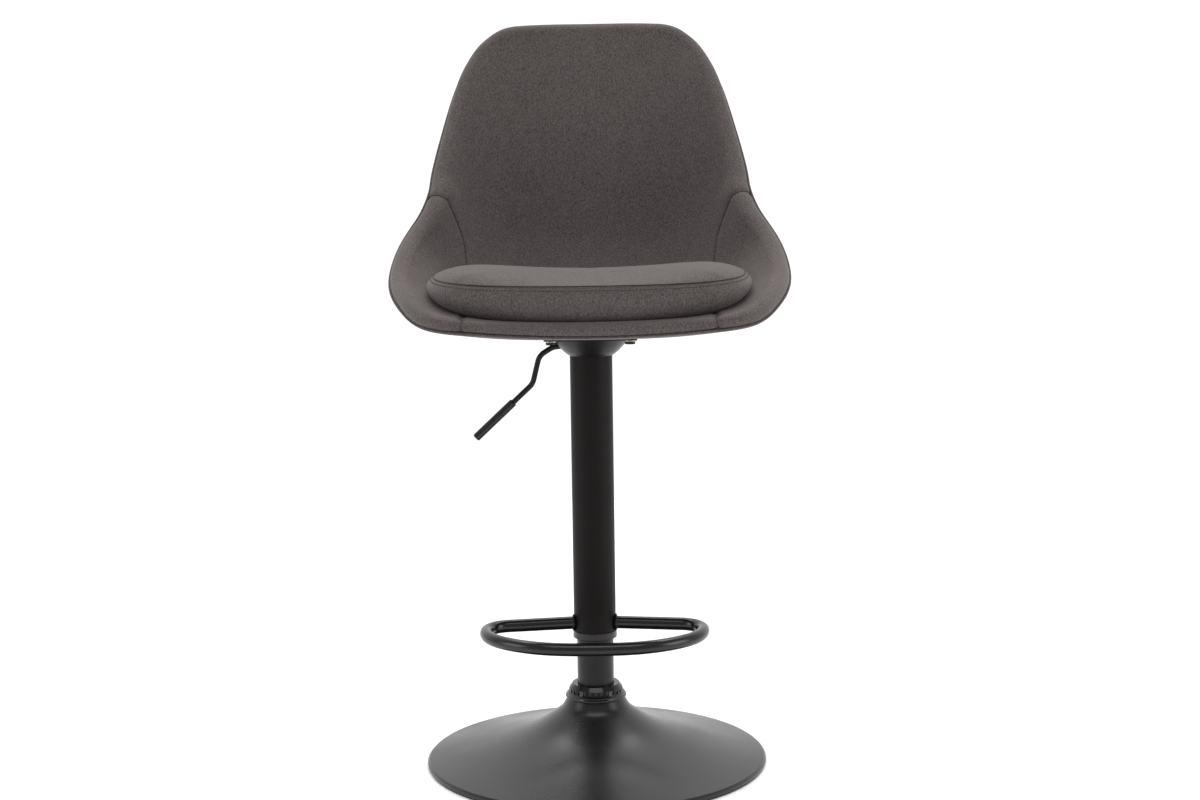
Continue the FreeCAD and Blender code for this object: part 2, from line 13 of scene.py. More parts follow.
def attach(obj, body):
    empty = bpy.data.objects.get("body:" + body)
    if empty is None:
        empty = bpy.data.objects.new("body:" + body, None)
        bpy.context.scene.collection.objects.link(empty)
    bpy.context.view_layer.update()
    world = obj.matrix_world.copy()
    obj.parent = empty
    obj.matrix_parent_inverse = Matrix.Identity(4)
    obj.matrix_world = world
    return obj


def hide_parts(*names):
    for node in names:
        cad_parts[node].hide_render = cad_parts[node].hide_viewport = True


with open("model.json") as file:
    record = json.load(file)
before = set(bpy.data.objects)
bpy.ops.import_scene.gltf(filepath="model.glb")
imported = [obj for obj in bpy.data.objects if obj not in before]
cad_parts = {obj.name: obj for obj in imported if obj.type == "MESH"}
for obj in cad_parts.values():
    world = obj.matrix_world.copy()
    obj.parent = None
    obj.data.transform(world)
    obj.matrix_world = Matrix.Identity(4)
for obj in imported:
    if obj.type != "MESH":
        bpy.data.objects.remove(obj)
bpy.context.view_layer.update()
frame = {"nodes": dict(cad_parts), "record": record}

MM = 0.001
nodes = frame["nodes"]

# %% [markdown]
# ## Camera, floor and light
# The stool is seen from the front, a little above the seat, with a long lens, so upright lines stay
# nearly parallel. Studio light on pale ground comes from large soft boxes: two overhead, so rims and the
# cushion's top are brightest, and two low beside, which the wings shade. A surround that is bright
# behind and dimmer in front fills the rest and gives dark satin steel its long soft edge reflections.

# %% Camera
CAMERA_AT = Vector((0.0238, -2.7259, 0.879))
PITCH, YAW, ROLL = math.radians(-8.99), math.radians(0.29), math.radians(-0.82)
SENSOR, FOCAL = 36.0, 68.91
LEVEL = math.pi / 2                   # a camera with no turn looks straight down

camera_data = bpy.data.cameras.new("camera")
camera_data.sensor_width, camera_data.lens = SENSOR, FOCAL
camera = bpy.data.objects.new("camera", camera_data)
heading = Matrix.Rotation(YAW, 4, "Z") @ Matrix.Rotation(LEVEL + PITCH, 4, "X")
camera.matrix_world = Matrix.Translation(CAMERA_AT) @ (heading @ Matrix.Rotation(ROLL, 4, "Z"))
bpy.context.collection.objects.link(camera)
bpy.context.scene.camera = camera


# %% Node helper: one function for every shader and geometry node
def add_node(tree, kind, settings=None, **links):
    """Adds a node. settings are its properties; links are socket values, or sockets to join.

    A link is named after its socket, with _ for a space, or is _ and the socket's number."""
    made = tree.nodes.new(kind)
    for key, value in (settings or {}).items():
        setattr(made, key, value)
    for key, value in links.items():
        socket = made.inputs[int(key[1:])] if key[1:].isdigit() else made.inputs[key.replace("_", " ")]
        if isinstance(value, bpy.types.NodeSocket):
            tree.links.new(value, socket)
        else:
            socket.default_value = value
    return made


def srgb(code):
    """Linear colour from an sRGB hex code."""
    parts = [int(code[i:i + 2], 16) / 255 for i in (1, 3, 5)]
    return [p / 12.92 if p <= 0.04045 else ((p + 0.055) / 1.055) ** 2.4 for p in parts] + [1.0]


# %% Floor, surround and lights
def mesh_object(name, points, faces):
    """New object at the origin from plain points and faces."""
    mesh = bpy.data.meshes.new(name)
    mesh.from_pydata([tuple(p) for p in points], [], [tuple(int(i) for i in f) for f in faces])
    mesh.validate()
    mesh.polygons.foreach_set("use_smooth", [True] * len(mesh.polygons))
    made = bpy.data.objects.new(name, mesh)
    bpy.context.collection.objects.link(made)
    return made


FLOOR_HALF_WIDTH, FLOOR_FRONT, FLOOR_BACK = 2.4, -2.6, 1.6
FLOOR_Z = -0.6 * MM                   # just under the base, so that the two faces stay apart
floor_corners = [(-1, FLOOR_FRONT), (1, FLOOR_FRONT), (1, FLOOR_BACK), (-1, FLOOR_BACK)]
floor = mesh_object("floor", [(x * FLOOR_HALF_WIDTH, y, FLOOR_Z) for x, y in floor_corners],
                    [(0, 1, 2, 3)])
floor_paint = bpy.data.materials.new("floor_paint")
floor_paint.use_nodes = True
floor_shader = floor_paint.node_tree.nodes["Principled BSDF"]
floor_shader.inputs["Base Color"].default_value = srgb("#fbfbfb")
floor_shader.inputs["Roughness"].default_value = 0.9
floor_shader.inputs["Specular IOR Level"].default_value = 0.1
floor_shader.inputs["Emission Color"].default_value = srgb("#ffffff")
floor_shader.inputs["Emission Strength"].default_value = 0.12
floor.data.materials.append(floor_paint)

world = bpy.data.worlds.new("surround")
world.use_nodes = True
FRONT_GLOW, BACK_GLOW = 0.40, 1.1     # strength of the surround in front and behind
GLOW_RISES, GLOW_FULL = -0.35, 0.85   # where it starts and stops rising, from -1 in front to 1 behind
sky_way = add_node(world.node_tree, "ShaderNodeTexCoord").outputs["Generated"]
sky_parts = add_node(world.node_tree, "ShaderNodeSeparateXYZ", Vector=sky_way)
glow = add_node(world.node_tree, "ShaderNodeMapRange", {"interpolation_type": "SMOOTHSTEP"},
                Value=sky_parts.outputs["Y"], From_Min=GLOW_RISES, From_Max=GLOW_FULL,
                To_Min=FRONT_GLOW, To_Max=BACK_GLOW)
background = world.node_tree.nodes["Background"]
background.inputs["Color"].default_value = srgb("#ffffff")
world.node_tree.links.new(glow.outputs["Result"], background.inputs["Strength"])
bpy.context.scene.world = world
bpy.context.scene.view_settings.view_transform = "Standard"


def soft_light(name, at, aim, width, height, power):
    """Soft box at a point, turned towards another; power in watts."""
    data = bpy.data.lights.new(name, "AREA")
    data.shape, data.size, data.size_y, data.energy = "RECTANGLE", width, height, power
    made = bpy.data.objects.new(name, data)
    direction = Vector(aim) - Vector(at)
    made.matrix_world = Matrix.Translation(at) @ direction.to_track_quat("-Z", "Y").to_matrix().to_4x4()
    bpy.context.collection.objects.link(made)


SEAT_MIDDLE, STOOL_MIDDLE = (0, 0, 0.7), (0, 0, 0.5)
OVERHEAD_SIZE, SIDE_SIZE = (2.6, 1.4), (1.2, 1.6)
soft_light("overhead_front", (0.0, -1.3, 3.0), STOOL_MIDDLE, *OVERHEAD_SIZE, 22)
soft_light("overhead_back", (0.0, 1.2, 3.0), STOOL_MIDDLE, *OVERHEAD_SIZE, 54)
soft_light("left_box", (-2.6, -1.0, 1.0), SEAT_MIDDLE, *SIDE_SIZE, 14)
soft_light("right_box", (2.6, -1.0, 1.0), SEAT_MIDDLE, *SIDE_SIZE, 18)
print("camera, floor, surround and 4 lights")

# %% [markdown]
# ## Hard finishes
# Powder-coated steel is a baked polyester skin: near black, satin, with a fine orange-peel texture.
# Moulded polypropylene is glossier; ground steel and raw cast iron hide inside the column and base.
# Each finish is one physically based shader whose roughness and relief vary with a grain of real size.


# %% Finishes for steel, plastic and rubber
HANDLING_SCALE = 14.0                 # broad patches about 7 cm across, where hands and cloths have been
GRAIN_SHARE = 0.35                    # the grain's part in the roughness; the patches have the rest
PATCH_TONE = 0.85                     # how dark a patch is against the coat's own colour
RELIEF_STRENGTH = 0.6


def hard_finish(name, colour, roughness, metallic=0.0, grain_mm=0.8, relief_mm=0.02, spread=0.06,
                level=0.5, stretch=(1.0, 1.0, 1.0)):
    """Coloured surface whose roughness and relief follow a grain of that size."""
    made = bpy.data.materials.new(name)
    made.use_nodes = True
    tree = made.node_tree
    shader = tree.nodes["Principled BSDF"]
    place = add_node(tree, "ShaderNodeTexCoord").outputs["Object"]
    grain_at = add_node(tree, "ShaderNodeMapping", Vector=place, Scale=stretch).outputs["Vector"]
    grain = add_node(tree, "ShaderNodeTexNoise", Vector=grain_at, Scale=1 / (grain_mm * MM), Detail=3.0)
    handling = add_node(tree, "ShaderNodeTexNoise", Vector=place, Scale=HANDLING_SCALE, Detail=4.0)
    both = add_node(tree, "ShaderNodeMix", {"data_type": "FLOAT"}, Factor=GRAIN_SHARE,
                    _2=handling.outputs["Fac"], _3=grain.outputs["Fac"])
    rough = add_node(tree, "ShaderNodeMapRange", Value=both.outputs["Result"], From_Min=0.3, From_Max=0.7,
                     To_Min=roughness - spread, To_Max=roughness + spread)
    tree.links.new(rough.outputs["Result"], shader.inputs["Roughness"])
    dark = [c * PATCH_TONE for c in srgb(colour)[:3]] + [1.0]
    tone = add_node(tree, "ShaderNodeMix", {"data_type": "RGBA"}, Factor=handling.outputs["Fac"],
                    _6=dark, _7=srgb(colour))
    tree.links.new(tone.outputs[2], shader.inputs["Base Color"])
    relief = add_node(tree, "ShaderNodeBump", Height=grain.outputs["Fac"], Strength=RELIEF_STRENGTH,
                      Distance=relief_mm * MM)
    tree.links.new(relief.outputs["Normal"], shader.inputs["Normal"])
    shader.inputs["Metallic"].default_value = metallic
    if not metallic:
        shader.inputs["Specular IOR Level"].default_value = level
    return made


FINISHES = {
    # baked polyester powder: satin, faint orange peel about a millimetre across
    "black_steel": hard_finish("satin_powder_coat", "#121111", 0.36, grain_mm=1.1, relief_mm=0.012,
                               level=0.3),
    "rubber": hard_finish("nitrile_rubber", "#161616", 0.8, grain_mm=0.6, relief_mm=0.05, level=0.3),
    "cast_iron": hard_finish("sand_cast_iron", "#4a4846", 0.62, 1.0, grain_mm=1.6, relief_mm=0.2),
    # moulded polypropylene: clean gloss from a polished tool
    "black_plastic": hard_finish("moulded_polypropylene", "#0d0d0d", 0.27, grain_mm=0.5, relief_mm=0.006),
    "bright_steel": hard_finish("ground_steel", "#b9b8b4", 0.3, 1.0, grain_mm=0.5, relief_mm=0.008,
                                stretch=(1.0, 1.0, 0.1)),
    "black_oxide_steel": hard_finish("black_oxide_steel", "#3a393a", 0.42, 1.0, grain_mm=0.4,
                                     relief_mm=0.01),
    "shell_plastic": hard_finish("moulded_shell", "#1d1c1c", 0.55, grain_mm=0.9, relief_mm=0.03),
}
# pieces whose coat differs from the rest of their material
OWN_FINISH = {
    "trumpet_base": hard_finish("base_enamel", "#171616", 0.30, grain_mm=1.4, relief_mm=0.006),
    "sleeve_tube": hard_finish("sleeve_coat", "#161211", 0.52, grain_mm=0.9, relief_mm=0.008, level=0.15),
    "lower_tube": hard_finish("tube_coat", "#211f1f", 0.36, grain_mm=0.9, relief_mm=0.008, level=0.3),
    "footrest_ring": hard_finish("ring_coat", "#131212", 0.2, grain_mm=1.1, relief_mm=0.004, spread=0.03),
    "base_collar": hard_finish("collar_gloss", "#0a0a0a", 0.2, grain_mm=0.5, relief_mm=0.004, level=0.42),
}
print(len(FINISHES) + len(OWN_FINISH), "hard finishes")

# %% [markdown]
# ## Woven cloth
# The cover is a melange weave: dark and pale fibres are spun together before weaving, so the colour
# breaks into short flecks that follow the warp. The flecks are longer along the warp than across it.
# A polyester-wool cloth is matt with a soft bloom at grazing angles, which sheen gives.

# %% Melange cloth along a chosen warp
FLECK_MM, THREAD_MM = 1.4, 1.5      # the real thread is about 0.8 mm; it is drawn coarser so that it shows
FLECK_SQUEEZE = 0.5                 # pattern scale along the warp: a fleck is twice as long as it is wide
FLECK_FROM, FLECK_TO = 0.34, 0.66   # noise values that give the dark and the pale fibre
CLOUD_FLECKS, CLOUD_SHARE = 11, 0.07  # slow unevenness: its size in flecks and its part in the colour
FUZZ_SHARE, WEAVE_RELIEF = 0.6, 0.35 * MM


def melange(name, warp, dark="#3c3636", pale="#6c6463"):
    """Woven cloth whose flecks run along the axis named by warp."""
    made = bpy.data.materials.new(name)
    made.use_nodes = True
    tree = made.node_tree
    shader = tree.nodes["Principled BSDF"]
    place = add_node(tree, "ShaderNodeTexCoord").outputs["Object"]
    squeeze = [FLECK_SQUEEZE if axis == warp else 1.0 for axis in "XYZ"]
    along = add_node(tree, "ShaderNodeMapping", Vector=place, Scale=squeeze).outputs["Vector"]
    fleck = add_node(tree, "ShaderNodeTexNoise", Vector=along, Scale=1 / (FLECK_MM * MM), Detail=4.0,
                     Roughness=0.7)
    cloud = add_node(tree, "ShaderNodeTexNoise", Vector=along, Scale=1 / (CLOUD_FLECKS * FLECK_MM * MM),
                     Detail=3.0)
    mixed = add_node(tree, "ShaderNodeMix", {"data_type": "FLOAT"}, Factor=CLOUD_SHARE,
                     _2=fleck.outputs["Fac"], _3=cloud.outputs["Fac"])
    share = add_node(tree, "ShaderNodeMapRange", Value=mixed.outputs["Result"],
                     From_Min=FLECK_FROM, From_Max=FLECK_TO)
    tone = add_node(tree, "ShaderNodeMix", {"data_type": "RGBA"}, Factor=share.outputs["Result"],
                    _6=srgb(dark), _7=srgb(pale))
    tree.links.new(tone.outputs[2], shader.inputs["Base Color"])
    heights = []
    for direction in ("X", warp if warp != "X" else "Z"):
        thread = add_node(tree, "ShaderNodeTexWave", {"bands_direction": direction}, Vector=place,
                          Scale=math.pi / (10 * THREAD_MM * MM), Distortion=1.5, Detail=2.0, Detail_Scale=3.0)
        heights.append(thread.outputs["Fac"])
    crossed = add_node(tree, "ShaderNodeMath", {"operation": "MAXIMUM"}, _0=heights[0], _1=heights[1])
    fuzzy = add_node(tree, "ShaderNodeMix", {"data_type": "FLOAT"}, Factor=FUZZ_SHARE,
                     _2=crossed.outputs[0], _3=fleck.outputs["Fac"])
    relief = add_node(tree, "ShaderNodeBump", Height=fuzzy.outputs["Result"], Strength=0.5,
                      Distance=WEAVE_RELIEF)
    tree.links.new(relief.outputs["Normal"], shader.inputs["Normal"])
    shader.inputs["Roughness"].default_value = 0.92
    shader.inputs["Specular IOR Level"].default_value = 0.25
    shader.inputs["Sheen Weight"].default_value = 0.22
    shader.inputs["Sheen Roughness"].default_value = 0.45
    shader.inputs["Sheen Tint"].default_value = srgb("#d8d0cc")
    return made


cloth_upright = melange("melange_cloth_upright", "Z")
# the flat cloth is the same weave as the upright cloth, painted about a tenth darker: painted shade that
# tempers the overhead light on the seat pan and the cushion's top, which face up
cloth_flat_painted_shade = melange("melange_flat_cloth_painted_shade", "Y", "#393333", "#665f5e")
cloth_dark = melange("melange_edge_binding", "Z", "#231f1f", "#332e2e")
thread_finish = melange("sewing_thread", "Z", "#2f2b2b", "#453f3e")
print("cloth with flecks", FLECK_MM, "mm wide")

# %% [markdown]
# ## The bucket's shape
# The seat is a dished shell, like a sheet bent up at the back and curled in at the sides. It is made
# from ribs: one line for each station from the front edge, over the seat, up to the top of the back.
# A rib is flat in the middle and turns up late, by a power of the share across, which makes the wings.

# %% Ribs of the bucket
# y and z of the padded face at the middle, half width, how far the rim stands forward and up,
# how late the rib turns up, and the padded thickness, all but the power in millimetres
RIBS = np.array([
    (-197, 563.5, 112, 0, 4, 2.0, 14),
    (-190, 565, 156, 2, 6.5, 2.5, 16),
    (-162, 565.5, 184, 6, 13, 3.0, 21),
    (-108, 565, 199, 0, 25, 3.5, 26),
    (-20, 561, 213, -10, 44, 4.0, 28),
    (65, 562, 205, -22, 70, 4.5, 28),
    (130, 576, 182, -40, 86, 5.0, 28),
    (172, 618, 171, -52, 72, 5.0, 28),
    (194, 676, 170, -54, 36, 4.5, 27),
    (212, 750, 161, -40, 12, 4.0, 26),
    (230, 822, 148, -24, 2, 3.5, 25),
    (239.6, 858, 136, -14, -3, 3.0, 24),
    (244.7, 878, 120, -10, -6, 2.5, 23),
    (247, 887, 92, -7, -3.5, 2.2, 22),
])
LAST = len(RIBS) - 1


def rib_at(stations):
    """Rib values at fractional stations, on a smooth curve through the ribs."""
    t = np.clip(np.asarray(stations, float), 0, LAST)
    i = np.minimum(t.astype(int), LAST - 1)
    f = (t - i)[..., None]
    ends = np.vstack([2 * RIBS[0] - RIBS[1], RIBS, 2 * RIBS[-1] - RIBS[-2]])
    a, b, c, d = (ends[i + k] for k in range(4))
    square, cube = 2 * a - 5 * b + 4 * c - d, 3 * b - a - 3 * c + d
    return 0.5 * (2 * b + (c - a) * f + square * f ** 2 + cube * f ** 3)


def padded_face(stations, shares):
    """Points of the padded face, in metres, and the thickness there."""
    rib = rib_at(stations)
    y, z, half, forward, up, power, thick = np.moveaxis(rib, -1, 0)
    curl = np.abs(shares) ** power
    return np.stack([shares * half, y + forward * curl, z + up * curl], -1) * MM, thick * MM


def face_frame(stations, shares):
    """Point, unit normal towards the sitter, unit direction up the seat, and thickness."""
    step = 1e-3
    point, thick = padded_face(stations, shares)
    up_seat = padded_face(np.minimum(stations + step, LAST), shares)[0] \
        - padded_face(np.maximum(stations - step, 0), shares)[0]
    over = padded_face(stations, shares + step)[0] - padded_face(stations, shares - step)[0]
    normal = np.cross(over, up_seat)
    normal /= np.linalg.norm(normal, axis=-1, keepdims=True)
    up_seat /= np.linalg.norm(up_seat, axis=-1, keepdims=True)
    return point, normal, up_seat, thick


# %% [markdown]
# ## The rolled rim
# The inner cover is drawn round the shell's edge and meets the rear cover at a bound line, so the rim
# is round in section. Both skins start from one grid of points, and rings of points carry them round
# the edge. The rings turn about the edge's middle line, smoothed a little so that its corners stay soft.

# %% Skins: the padded face, the rolled rim, and the outside
ROWS, COLUMNS, ROLL_STEPS, OUTER_ROLL_STEPS = 300, 150, 14, 5
RIM_SMOOTHING = 40                    # rounds of averaging with the neighbours
EDGE_ANGLE = math.radians(-48)        # where the inner cover meets the rear cover, round the rolled rim


def spaced(count):
    """Shares across, closer together towards the wings."""
    reach = 0.9
    return np.sin(np.linspace(-1, 1, count) * math.pi / 2 * reach) / math.sin(math.pi / 2 * reach)


row_at = np.linspace(0, LAST, ROWS)
share_at = spaced(COLUMNS)
grid_t, grid_u = np.meshgrid(row_at, share_at, indexing="ij")
point, normal, _, thick = face_frame(grid_t, grid_u)
middle = point - normal * thick[..., None] / 2
loop = [(0, j) for j in range(COLUMNS)] + [(i, COLUMNS - 1) for i in range(1, ROWS)] \
    + [(ROWS - 1, j) for j in range(COLUMNS - 2, -1, -1)] + [(i, 0) for i in range(ROWS - 2, 0, -1)]
loop = np.array(loop)
rim_middle, rim_normal = middle[loop[:, 0], loop[:, 1]], normal[loop[:, 0], loop[:, 1]]
rim_half = thick[loop[:, 0], loop[:, 1]][:, None] / 2


def smoothed(values, times):
    """Averages neighbours round a closed loop."""
    for _ in range(times):
        values = (np.roll(values, 1, 0) + 2 * values + np.roll(values, -1, 0)) / 4
    return values


rim_middle = smoothed(rim_middle, RIM_SMOOTHING)
rim_normal = smoothed(rim_normal, RIM_SMOOTHING)
rim_normal /= np.linalg.norm(rim_normal, axis=1, keepdims=True)
along_rim = smoothed(np.roll(rim_middle, -1, 0) - np.roll(rim_middle, 1, 0), RIM_SMOOTHING)
rim_out = np.cross(along_rim, rim_normal)
rim_out /= np.linalg.norm(rim_out, axis=1, keepdims=True)


def rim_ring(angle):
    """Ring of points round the rolled rim: pi/2 is the padded face and -pi/2 the outside."""
    away = math.cos(angle) * rim_out + math.sin(angle) * rim_normal
    return rim_middle + rim_half * away, away


def grid_faces():
    """Quads of the grid, facing the sitter."""
    index = np.arange(ROWS * COLUMNS).reshape(ROWS, COLUMNS)
    a, b, c, d = index[:-1, :-1], index[:-1, 1:], index[1:, 1:], index[1:, :-1]
    return np.stack([a, b, c, d], -1).reshape(-1, 4)


def skin(face_points, face_normals, angles):
    """Points, normals, stations, shares and quads of a face with its part of the rolled rim."""
    points, normals = [face_points.reshape(-1, 3)], [face_normals.reshape(-1, 3)]
    stations, shares = [grid_t.ravel()], [grid_u.ravel()]
    quads = [grid_faces()]
    before = loop[:, 0] * COLUMNS + loop[:, 1]
    count = ROWS * COLUMNS
    for angle in angles:
        ring, away = rim_ring(angle)
        now = count + np.arange(len(loop))
        points.append(ring)
        normals.append(away)
        stations.append(row_at[loop[:, 0]])
        shares.append(share_at[loop[:, 1]])
        quads.append(np.stack([before, now, np.roll(now, -1), np.roll(before, -1)], -1))
        before, count = now, count + len(loop)
    return [np.concatenate(v) for v in (points, normals, stations, shares, quads)]


inner_angles = np.linspace(math.pi / 2, EDGE_ANGLE, ROLL_STEPS)[1:]
outer_angles = np.linspace(-math.pi / 2, EDGE_ANGLE, OUTER_ROLL_STEPS)[1:]
inner = skin(point, normal, inner_angles)
outer = skin(point - normal * thick[..., None], -normal, outer_angles)
print("inner skin", len(inner[0]), "points; outer skin", len(outer[0]))

# %% [markdown]
# ## Seams
# The inner cover is sewn from a back panel, two wings and a front band. A seam pulls the foam down
# into a narrow valley, so each seam is a line on the surface and the skin sinks towards it.

# %% Where the seams run
# station and share across where a wing meets its neighbours, from the front edge to the back corner
WING_SEAM = np.array([(0.0, 1.3), (0.62, 1.0), (1.0, 0.91), (2.0, 0.755), (3.0, 0.70), (5.0, 0.74),
                      (5.7, 0.81), (6.05, 0.85), (6.3, 0.885), (6.42, 0.91), (6.52, 0.94), (6.59, 0.97),
                      (6.64, 1.0), (6.8, 1.3)])
FRONT_SEAM_AT, BACK_SEAM_AT = 0.62, 6.64        # stations where the seams cross the rim
FRONT_SEAM_TO, BACK_SEAM_FROM = 3.2, 4.6        # stations where they run out, beside the cushion
PAN_FROM, BACK_FROM = 2.4, 5.55                 # stations that part front band, seat and back
SEAM_DEPTH, SEAM_WIDTH = 1.7 * MM, 3.4 * MM
SEAM_POINTS, CROSSING_POINTS = 90, 18
UNEVENNESS, WAVE_LENGTH, WAVE_PHASE = 0.35 * MM, 0.11, 0.4


def wing_share(stations):
    """Share across where the wing begins."""
    return np.interp(stations, WING_SEAM[:, 0], WING_SEAM[:, 1])


def rim_points(station, side, angles):
    """Points across the rolled rim at one station of one side."""
    t = np.array([station])
    p, n, up, thick_here = face_frame(t, np.array([float(side)]))
    out = np.cross(up, n) * side
    out /= np.linalg.norm(out)
    centre = p - n * thick_here[:, None] / 2
    return np.vstack([centre + thick_here / 2 * (math.cos(a) * out + math.sin(a) * n) for a in angles])


def seam_line(side, low, high, rim_station, rim_first):
    """Seam over the padded face between two stations and across the rim."""
    t = np.linspace(low, high, SEAM_POINTS)
    on_face = padded_face(t, side * np.minimum(wing_share(t), 1.0))[0]
    across = rim_points(rim_station, side, np.linspace(math.pi / 2, EDGE_ANGLE, CROSSING_POINTS))
    return np.vstack([across[::-1], on_face]) if rim_first else np.vstack([on_face, across])


seams = {}
for side, word in ((1, "right"), (-1, "left")):
    seams["front_" + word] = seam_line(side, FRONT_SEAM_AT, FRONT_SEAM_TO, FRONT_SEAM_AT, True)
    seams["back_" + word] = seam_line(side, BACK_SEAM_FROM, BACK_SEAM_AT, BACK_SEAM_AT, False)


def distance_to(points, line):
    """Distance from each point to the line, whose steps are divided so that they are short."""
    finer, block_size = 4, 4000
    dense = np.vstack([line[:-1] + (line[1:] - line[:-1]) * k / finer for k in range(finer)])
    best = np.full(len(points), np.inf)
    for start in range(0, len(points), block_size):
        block = points[start:start + block_size]
        best[start:start + block_size] = np.sqrt(((block[:, None] - dense[None]) ** 2).sum(-1)).min(1)
    return best


def waves(points, length, phase):
    """Slow unevenness of hand-laid foam, a sum of three plane waves between -1 and 1."""
    total = np.zeros(len(points))
    for k, direction in enumerate(((0.8, 0.5, 0.3), (-0.4, 0.3, 0.9), (0.3, -0.7, 0.6))):
        total += np.sin(points @ np.array(direction) * 2 * math.pi / length + phase + 2.1 * k)
    return total / 3


inner[0] += inner[1] * (UNEVENNESS * waves(inner[0], WAVE_LENGTH, WAVE_PHASE))[:, None]
for line in seams.values():
    near = distance_to(inner[0], line)
    inner[0] -= inner[1] * (SEAM_DEPTH * np.exp(-(near / SEAM_WIDTH) ** 2))[:, None]
for name, line in seams.items():
    print("seam", name, round(float(np.linalg.norm(np.diff(line, axis=0), axis=1).sum()), 3), "m long")

# %% [markdown]
# ## Panels
# A sewn cover is cut from pieces, so each panel is an object of its own. It takes the quads of a skin
# on its side of the seams, so neighbours meet edge to edge. Solidify then gives it the thickness of
# its foam and closes its edges.

# %% Cut the skins into their panels
FOAM, REAR_FOAM = 5 * MM, 2.5 * MM
ON_RIM = 0.999                        # shares past this lie on the rolled rim


def panel(name, skin_data, wanted, replaced, thickness, finish):
    """Closed padded panel from the quads of a skin that are wanted."""
    points, _, stations, shares, quads = skin_data
    chosen = quads[wanted(stations[quads].mean(1), shares[quads].mean(1))]
    used, packed = np.unique(chosen, return_inverse=True)
    made = mesh_object(name, points[used], packed.reshape(-1, 4))
    made.data.materials.append(finish)
    wall = made.modifiers.new("foam", "SOLIDIFY")
    wall.thickness, wall.offset = thickness, -1.0
    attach(made, "carriage")
    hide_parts(*replaced)
    print(name, len(chosen), "faces")
    return made


def in_wing(t, u, side):
    """Whether stations t and shares u lie in the wing of that side, its part of the rim included."""
    between_seams = (t > FRONT_SEAM_AT) & (t < BACK_SEAM_AT)
    return (u * side > wing_share(t)) | ((np.abs(u) > ON_RIM) & (u * side > 0) & between_seams)


def between(t, u, low, high):
    """Whether they lie outside the wings, from one station up to another."""
    return (t >= low) & (t < high) & ~in_wing(t, u, 1) & ~in_wing(t, u, -1)


panel("back_panel", inner, lambda t, u: between(t, u, BACK_FROM, LAST + 1), ["back_pad"], FOAM,
      cloth_upright)
panel("seat_pan_panel", inner, lambda t, u: between(t, u, PAN_FROM, BACK_FROM), ["pan_pad"], FOAM,
      cloth_flat_painted_shade)
panel("front_band", inner, lambda t, u: between(t, u, 0, PAN_FROM), ["front_pad"], FOAM, cloth_upright)
for side, word in ((1, "right"), (-1, "left")):
    panel("wing_panel_" + word, inner, lambda t, u: in_wing(t, u, side), ["wing_pad_" + word], FOAM,
          cloth_upright)
panel("rear_panel", outer, lambda t, u: t >= 0, ["rear_cover"], REAR_FOAM, cloth_upright)

# %% [markdown]
# ## Piping, seam threads and stitches
# Piping and threads follow a path, so geometry nodes make them: one tree sweeps a round section
# along a curve, and one sets a short stitch at even steps along it. Both trees end in Realize
# Instances and Set Material, and the result is turned into a plain mesh.


# %% Trees for what follows a path
STITCH_SHARE = 0.72                   # a stitch's part of the step; the rest is the gap


def new_tree(name, **inputs):
    """Tree that takes and gives geometry and has the named inputs; returns it and its input node."""
    tree = bpy.data.node_groups.new(name, "GeometryNodeTree")
    tree.interface.new_socket("Geometry", in_out="INPUT", socket_type="NodeSocketGeometry")
    tree.interface.new_socket("Geometry", in_out="OUTPUT", socket_type="NodeSocketGeometry")
    for title, kind in inputs.items():
        tree.interface.new_socket(title, in_out="INPUT", socket_type="NodeSocket" + kind)
    tree.is_modifier = True
    return tree, tree.nodes.new("NodeGroupInput")


def close_tree(tree, geometry, finish_socket):
    """Ends a tree in plain geometry that has its material."""
    plain = add_node(tree, "GeometryNodeRealizeInstances", Geometry=geometry)
    painted = add_node(tree, "GeometryNodeSetMaterial", Geometry=plain.outputs[0], Material=finish_socket)
    add_node(tree, "NodeGroupOutput", Geometry=painted.outputs[0])


def piping_tree():
    """Round section swept along the curve: inputs Radius and Finish."""
    tree, source = new_tree("piping", Radius="Float", Finish="Material")
    section = add_node(tree, "GeometryNodeCurvePrimitiveCircle", Resolution=8,
                       Radius=source.outputs["Radius"])
    swept = add_node(tree, "GeometryNodeCurveToMesh", Curve=source.outputs["Geometry"],
                     Profile_Curve=section.outputs["Curve"], Fill_Caps=True)
    smooth = add_node(tree, "GeometryNodeSetShadeSmooth", Geometry=swept.outputs[0])
    close_tree(tree, smooth.outputs[0], source.outputs["Finish"])
    return tree


def stitch_tree():
    """Short rounded stitches at even steps along the curve: inputs Pitch, Radius and Finish."""
    tree, source = new_tree("stitches", Pitch="Float", Radius="Float", Finish="Material")
    steps = add_node(tree, "GeometryNodeCurveToPoints", {"mode": "LENGTH"}, Curve=source.outputs["Geometry"],
                     Length=source.outputs["Pitch"])
    length = add_node(tree, "ShaderNodeMath", {"operation": "MULTIPLY"},
                      _0=source.outputs["Pitch"], _1=STITCH_SHARE)
    # a ball one unit across, which the scale below turns into a stitch
    stitch = add_node(tree, "GeometryNodeMeshUVSphere", Segments=6, Rings=5, Radius=0.5)
    wide = add_node(tree, "ShaderNodeMath", {"operation": "MULTIPLY"},
                    _0=source.outputs["Radius"], _1=2.0)
    shape = add_node(tree, "ShaderNodeCombineXYZ", X=wide.outputs[0], Y=wide.outputs[0], Z=length.outputs[0])
    placed = add_node(tree, "GeometryNodeInstanceOnPoints", Points=steps.outputs["Points"],
                      Instance=stitch.outputs["Mesh"], Rotation=steps.outputs["Rotation"],
                      Scale=shape.outputs[0])
    close_tree(tree, placed.outputs[0], source.outputs["Finish"])
    return tree


PIPING, STITCHES = piping_tree(), stitch_tree()


